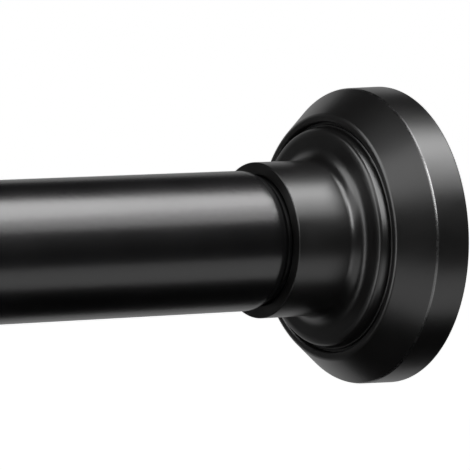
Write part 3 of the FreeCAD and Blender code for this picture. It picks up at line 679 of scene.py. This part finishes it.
def end_bell(name):
    """Moulded bell: collar round the tube, stepped disc, skirt under the cover, webs inside."""
    outline = [(FLOOR_BACK, PIVOT_BORE), (FLOOR_BACK, PAD_SOCKET), (PAD_BACK, PAD_SOCKET)]
    outline += [(PAD_BACK, SOCKET_RADIUS), (DISC_BACK, SOCKET_RADIUS)]
    outline += [(DISC_BACK, cone_radius(DISC_BACK, BELL_DEPTH))]
    outline += [(cone_station(SKIRT_BORE, BELL_DEPTH), SKIRT_BORE), (SKIRT_BACK, SKIRT_BORE)]
    outline += [(SKIRT_BACK, SKIRT_RADIUS)]
    outline += [(cone_station(SKIRT_RADIUS, COVER_GAP), SKIRT_RADIUS)]
    outline += [(SHOULDER, cone_radius(SHOULDER, COVER_GAP)), (SHOULDER, CHANNEL_EDGE)]
    outline += [(CHANNEL_FLOOR, CHANNEL_EDGE), (CHANNEL_FLOOR, LEDGE_EDGE), (LEDGE, LEDGE_EDGE)]
    outline += [(LEDGE, DISC_RADIUS), (DISC_BEND, DISC_EDGE), (DISC_FRONT, DISC_CROWN)]
    outline += [(DISC_FRONT, COLLAR_RADIUS), (COLLAR_FRONT, COLLAR_RADIUS)]
    outline += [(COLLAR_FRONT, SOCKET_BORE)]
    outline += [(FLOOR_FRONT, SOCKET_BORE), (FLOOR_FRONT, PIVOT_BORE)]
    piece = turned(name, outline)
    round_rings(piece, [(DISC_FRONT, COLLAR_RADIUS)], THROAT_ROUND, 90, 14)
    round_rings(piece, [(DISC_FRONT, DISC_CROWN)], CROWN_ROUND, CROWN_TURN, 8)
    round_rings(piece, [(DISC_BEND, DISC_EDGE)], DISC_ROUND, DISC_SIDE_TURN, 10)
    round_rings(piece, [(COLLAR_FRONT, COLLAR_RADIUS)], COLLAR_ROUND)
    round_rings(piece, [(COLLAR_FRONT, SOCKET_BORE)], MOUTH_ROUND)
    round_rings(piece, [(LEDGE, LEDGE_EDGE)], LEDGE_ROUND)
    finish_mesh(piece)
    web = bell_web()
    webs = [web]
    for number in range(1, WEB_COUNT):
        webs.append(copy_of(web, f"web_{number}"))
        turn = 2 * math.pi * number / WEB_COUNT
        bpy.ops.transform.rotate(value=turn, orient_axis="X", center_override=(0, 0, 0))
        bpy.ops.object.transform_apply(location=True, rotation=True, scale=True)
    join_to(piece, webs)
    return piece


def bell_web():
    """One flat web from the bell's socket to its skirt, cut off along the cone."""
    inner = (SOCKET_BORE + SOCKET_RADIUS) / 2
    outer = (SKIRT_BORE + SKIRT_RADIUS) / 2
    depth = (COVER_GAP + BELL_DEPTH) / 2
    front = (DISC_BACK + DISC_FRONT) / 2
    deselect()
    bpy.ops.mesh.primitive_cube_add(
        size=1,
        location=((PAD_BACK + front) / 2 * MM, 0, (inner + outer) / 2 * MM),
        scale=((front - PAD_BACK) * MM, WEB_THICKNESS * MM, (outer - inner) * MM),
    )
    web = bpy.context.object
    web.name = "web"
    bpy.ops.object.transform_apply(location=True, rotation=True, scale=True)
    bpy.ops.object.mode_set(mode="EDIT")
    bpy.ops.mesh.select_all(action="SELECT")
    bpy.ops.mesh.bisect(
        plane_co=(front * MM, 0, cone_radius(front, depth) * MM),
        plane_no=(CONE_DROP, 0, 1),
        use_fill=True,
        clear_outer=True,
        threshold=TOUCH,
    )
    bpy.ops.object.mode_set(mode="OBJECT")
    return web


def wall_pad(name):
    """Rubber disc with ring treads on the wall side and a spigot behind."""
    outline = []
    for number in range(TREAD_COUNT):
        start = PAD_LAND + number * TREAD_PITCH
        end = start + TREAD_GROOVE
        outline += [(0, start), (TREAD_DEPTH, start), (TREAD_DEPTH, end), (0, end)]
    outline += [(0, PAD_RADIUS), (PAD_BACK, PAD_RADIUS), (PAD_BACK, SPIGOT_OUTER)]
    outline += [(SPIGOT_END, SPIGOT_OUTER), (SPIGOT_END, SPIGOT_INNER), (PAD_BACK, SPIGOT_INNER)]
    piece = turned(name, outline, closed=False)
    rims = [place for place in outline if place[0] == 0]
    round_rings(piece, rims, TREAD_ROUND, 90, 2)
    round_rings(piece, [(PAD_BACK, PAD_RADIUS)], PAD_ROUND, 90, 4)
    finish_mesh(piece)
    return piece


def mouth_bush(name):
    """Bush in the outer tube's open end, with a rounded lip over the cut."""
    outline = [(BUSH_START, BUSH_BORE), (BUSH_START, BUSH_FIT), (TUBE_END, BUSH_FIT)]
    outline += [(TUBE_END, BUSH_LIP), (BUSH_FRONT, BUSH_LIP), (BUSH_FRONT, BUSH_BORE)]
    piece = turned(name, outline)
    round_rings(piece, [(BUSH_FRONT, BUSH_LIP)], BUSH_ROUND)
    round_rings(piece, [(BUSH_FRONT, BUSH_BORE), (TUBE_END, BUSH_LIP)], SLEEVE_EDGE_ROUND, 90, 3)
    finish_mesh(piece)
    return piece


def reducer(name):
    """Sleeve that brings the inner tube up to the far bell's bore."""
    outline = [(TUBE_START, BUSH_BORE), (TUBE_START, NECK_RADIUS)]
    outline += [(REDUCER_FRONT, NECK_RADIUS), (REDUCER_FRONT, BUSH_BORE)]
    piece = turned(name, outline)
    front = [(REDUCER_FRONT, NECK_RADIUS), (REDUCER_FRONT, BUSH_BORE)]
    round_rings(piece, front, SLEEVE_EDGE_ROUND, 90, 3)
    finish_mesh(piece)
    return piece


def pivot_screw(name):
    """Screw that a cap turns on: round head with a hexagonal socket, shoulder, coarse thread."""
    tip = SCREW_END - SCREW_TIP
    outline = [(HEAD_BACK, HEAD_RADIUS), (HEAD_FRONT, HEAD_RADIUS), (HEAD_FRONT, SCREW_SHOULDER)]
    outline += [(FLOOR_FRONT, SCREW_SHOULDER), (FLOOR_FRONT, SCREW_CORE), (tip, SCREW_CORE)]
    outline += [(SCREW_END, SCREW_POINT)]
    piece = turned(name, outline, closed=False, sides=SMALL_ROUND)
    round_rings(piece, [(HEAD_BACK, HEAD_RADIUS)], HEAD_ROUND)
    round_rings(piece, [(HEAD_FRONT, HEAD_RADIUS)], STEEL_EDGE_ROUND, 90, 2)
    drive = hexagonal_bar("drive", HEAD_BACK - CUT_PAST, HEAD_BACK + DRIVE_DEPTH, DRIVE_FLATS)
    cut_with(piece, drive, "DIFFERENCE")
    run_in = FLOOR_FRONT + SCREW_RUN_IN
    join_to(piece, [thread_ridge("ridge", run_in, tip, SCREW_RADIUS, SCREW_CORE, SCREW_PITCH)])
    finish_mesh(piece)
    return piece


def lock_stud(name):
    """Steel stud: clip groove, lock thread, journal, collar, hexagonal shank and stop thread."""
    outline = [(STUD_START, THREAD_RADIUS), (GROOVE_START, THREAD_RADIUS)]
    outline += [(GROOVE_START, GROOVE_RADIUS), (GROOVE_END, GROOVE_RADIUS)]
    outline += [(GROOVE_END, THREAD_CORE), (JOURNAL_START, THREAD_CORE)]
    outline += [(JOURNAL_START, JOURNAL_RADIUS), (STUD_COLLAR, JOURNAL_RADIUS)]
    outline += [(STUD_COLLAR, STUD_COLLAR_RADIUS), (SHANK_START, STUD_COLLAR_RADIUS)]
    outline += [(SHANK_START, STOP_CORE), (STUD_END, STOP_CORE)]
    piece = turned(name, outline, closed=False, sides=SMALL_ROUND)
    chamfers = [(STUD_START, THREAD_RADIUS), (STUD_END, STOP_CORE)]
    round_rings(piece, chamfers, STUD_CHAMFER, 90, 1)
    collar = [(STUD_COLLAR, STUD_COLLAR_RADIUS), (SHANK_START, STUD_COLLAR_RADIUS)]
    round_rings(piece, collar, STEEL_EDGE_ROUND, 90, 2)
    lock_thread = thread_ridge(
        "ridge", GROOVE_END, JOURNAL_START, THREAD_RADIUS, THREAD_CORE, THREAD_PITCH
    )
    run_out = STUD_END - STOP_RUN_OUT
    stop_thread = thread_ridge("ridge", SHANK_END, run_out, STOP_RADIUS, STOP_CORE, STOP_PITCH)
    shank = hexagonal_bar("shank", SHANK_START - JOIN_DEPTH, SHANK_END, SHANK_FLATS)
    join_to(piece, [lock_thread, stop_thread, shank])
    finish_mesh(piece)
    return piece


def hexagonal_nut(name):
    """Nut with its corners turned off at both faces."""
    piece = hexagonal_bar(name, STOP_NUT_START, STOP_NUT_END, STOP_NUT_FLATS)
    corner = STOP_NUT_FLATS / (2 * math.cos(HEX_HALF_ANGLE)) + NUT_PLAY
    face = STOP_NUT_FLATS / 2 - NUT_FACE_INSET
    slope = (corner - face) * math.tan(HEX_HALF_ANGLE)
    barrel = [(STOP_NUT_START, face), (STOP_NUT_START + slope, corner)]
    barrel += [(STOP_NUT_END - slope, corner), (STOP_NUT_END, face)]
    cut_with(piece, turned("barrel", barrel, closed=False, sides=BARREL_ROUND), "INTERSECT")
    bore = STOP_RADIUS + NUT_PLAY
    drill = [(STOP_NUT_START - CUT_PAST, bore), (STOP_NUT_END + CUT_PAST, bore)]
    cut_with(piece, turned("drill", drill, closed=False, sides=SMALL_ROUND), "DIFFERENCE")
    finish_mesh(piece)
    return piece


def wire_coil(start, pitch, turns):
    """A stretch of the spring's round wire from a station on."""
    deselect()
    bpy.ops.mesh.primitive_circle_add(
        vertices=WIRE_ROUND,
        radius=WIRE_RADIUS * MM,
        location=(start * MM, 0, COIL_RADIUS * MM),
        rotation=(math.pi / 2, 0, 0),
    )
    coil = bpy.context.object
    coil.name = "coil"
    bpy.ops.object.transform_apply(location=True, rotation=True, scale=True)
    wind(coil, pitch, turns, COIL_STEPS)
    return coil


def wire_spring(name):
    """Round-wire compression spring with a closed coil at each end, both ends ground flat."""
    first = SPRING_START + WIRE_RADIUS - GROUND_DEPTH
    last = SPRING_END - WIRE_RADIUS + GROUND_DEPTH
    active = last - first - 2 * CLOSED_PITCH
    piece = wire_coil(first, CLOSED_PITCH, 1)
    piece.name = name
    middle_coils = wire_coil(first + CLOSED_PITCH, active / ACTIVE_TURNS, ACTIVE_TURNS)
    join_to(piece, [middle_coils, wire_coil(last - CLOSED_PITCH, CLOSED_PITCH, 1)])
    edit(piece)
    bpy.ops.mesh.select_all(action="SELECT")
    bpy.ops.mesh.remove_doubles(threshold=TOUCH)
    bpy.ops.object.mode_set(mode="OBJECT")
    close_ends(piece)
    for station, side in ((SPRING_START, -1), (SPRING_END, 1)):
        edit(piece)
        bpy.ops.mesh.select_all(action="SELECT")
        bpy.ops.mesh.bisect(
            plane_co=(station * MM, 0, 0),
            plane_no=(side, 0, 0),
            use_fill=True,
            clear_outer=True,
            threshold=TOUCH,
        )
        bpy.ops.object.mode_set(mode="OBJECT")
    finish_mesh(piece)
    return piece


def dress(piece, body, slot, node):
    """Puts a piece where its CAD node is, with the finish of its slot."""
    place(piece, body, slot, finishes[slot], node)


def dress_both_ends(piece, body, far_body, slot, node):
    """Puts a piece at the first end, and a copy of it at the far one."""
    far_piece = copy_of(piece, f"far_{piece.name}")
    turn_to_far_end(far_piece)
    dress(piece, body, slot, node)
    dress(far_piece, far_body, slot, f"far_{node}")


dress_both_ends(cover_ring("cover_shell"), "fixed_end", "far_end", "black_moulding", "cover_ring")
dress_both_ends(end_bell("bell_moulding"), "fixed_end", "far_end", "black_moulding", "end_bell")
dress_both_ends(wall_pad("grip_pad"), "fixed_end", "far_end", "black_rubber", "wall_pad")
dress_both_ends(pivot_screw("pivot_screw"), "outer_half", "inner_half", "plain_steel", "cap_screw")
dress(necked_tube("coated_outer_tube"), "outer_half", "black_tube", "outer_tube")
inner_tube = tube("coated_inner_tube", INNER_START, INNER_END, INNER_RADIUS)
dress(inner_tube, "inner_half", "black_tube", "inner_tube")
dress(mouth_bush("mouth_collar"), "outer_half", "black_moulding", "mouth_bush")
fitting_sleeve = reducer("fitting_sleeve")
turn_to_far_end(fitting_sleeve)
dress(fitting_sleeve, "inner_half", "black_moulding", "far_reducer")
dress(lock_stud("threaded_stud"), "lock_core", "plain_steel", "lock_stud")
dress(hexagonal_nut("end_nut"), "lock_core", "plain_steel", "stop_nut")
spring = wire_spring("wire_spring")
dress(spring, "lock_core", "plain_steel", "compression_spring")
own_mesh(spring)


# Floor, light and camera


FLOOR_SIZE = 80
FLOOR_CENTRE = (0.3, 0, -0.9)


def stage_floor():
    """Plain pale floor far under the rod. The camera sees it as white."""
    deselect()
    bpy.ops.mesh.primitive_plane_add(size=FLOOR_SIZE, location=FLOOR_CENTRE)
    floor = bpy.context.object
    floor.name = "floor"
    color = (0.8, 0.8, 0.8)
    material, nodes, links, shader = new_material("pale_floor", color, 0.9)
    shader.inputs["Specular IOR Level"].default_value = 0.0
    ray = nodes.new("ShaderNodeLightPath")
    links.new(ray.outputs["Is Camera Ray"], shader.inputs["Emission Strength"])
    shader.inputs["Emission Color"].default_value = (1, 1, 1, 1)
    floor.data.materials.append(material)
    floor.visible_glossy = False


LAMP_AIM = Vector((0.02, 0, 0))
LAMP_DISTANCE = 1.5

# Each lamp: name, azimuth and elevation in degrees, width, height and radiance
LAMPS = [
    ("key_right", 147.0, 40.0, 0.3, 0.22, 7.5),
    ("key_top", 139.0, 62.5, 1.05, 0.85, 9.2),
    ("key_front", 131.0, 38.0, 0.4, 0.45, 4.1),
    ("left_side", -10.5, 18.0, 0.95, 2.35, 4.3),
    ("front_left_up", 47.0, 44.0, 2.0, 0.9, 2.6),
    ("low_front_left", 65.0, -37.0, 2.2, 1.0, 1.27),
    ("low_right", 123.0, -35.0, 1.3, 0.75, 1.15),
    ("front_strip", 95.0, 36.0, 0.35, 1.0, 14.5),
    ("white_board", -112.5, -8.5, 3.0, 2.35, 0.49),
]


def soft_box(name, azimuth, elevation, width, height, radiance):
    """A soft lamp that faces the first end. Azimuth 0 is +X and 90 is +Y."""
    across, up = math.radians(azimuth), math.radians(elevation)
    level = math.cos(up)
    back = Vector((level * math.cos(across), level * math.sin(across), math.sin(up)))
    lamp = bpy.data.lights.new(name, "AREA")
    lamp.shape = "RECTANGLE"
    lamp.size = width
    lamp.size_y = height
    lamp.energy = radiance * math.pi * width * height
    holder = bpy.data.objects.new(name, lamp)
    holder.location = LAMP_AIM + back * LAMP_DISTANCE
    holder.rotation_euler = back.to_track_quat("Z", "Y").to_euler()
    holder.visible_camera = False
    bpy.context.scene.collection.objects.link(holder)


def world_light():
    """White for the camera alone. The object is lit by the lamps."""
    world = bpy.data.worlds.new("studio")
    bpy.context.scene.world = world
    world.use_nodes = True
    nodes = world.node_tree.nodes
    ray = nodes.new("ShaderNodeLightPath")
    background = nodes["Background"]
    background.inputs["Color"].default_value = (1, 1, 1, 1)
    world.node_tree.links.new(ray.outputs["Is Camera Ray"], background.inputs["Strength"])


CAMERA_TURN = math.radians(33.28)
CAMERA_PITCH = math.radians(3.99)
CAMERA_LENS = 414.31
CAMERA_AWAY = 0.99383
RIM_CENTRE = Vector((0.001, 0, 0))
RIM_RIGHT = 0.0272357
RIM_UP = 0.00009466


def photo_camera():
    """The camera that took the photograph, worked out from the cap's edges. The rim's centre lies
    right of the picture's middle and a little over it."""
    across, pitch = CAMERA_TURN, CAMERA_PITCH
    level = Vector((-math.sin(across), -math.cos(across), 0))
    right = Vector((-math.cos(across), math.sin(across), 0))
    up = Vector((0, 0, 1))
    forward = math.cos(pitch) * level - math.sin(pitch) * up
    down = -(math.cos(pitch) * up + math.sin(pitch) * level)
    data = bpy.data.cameras.new("photo_camera")
    data.sensor_width = 36
    data.lens = CAMERA_LENS
    data.clip_end = 100
    camera = bpy.data.objects.new("photo_camera", data)
    camera.location = RIM_CENTRE - (RIM_RIGHT * right - RIM_UP * down + CAMERA_AWAY * forward)
    camera.rotation_euler = (-forward).to_track_quat("Z", "Y").to_euler()
    bpy.context.scene.collection.objects.link(camera)
    bpy.context.scene.camera = camera


stage_floor()
world_light()
for lamp in LAMPS:
    soft_box(*lamp)
photo_camera()
bpy.context.scene.view_settings.view_transform = "Standard"
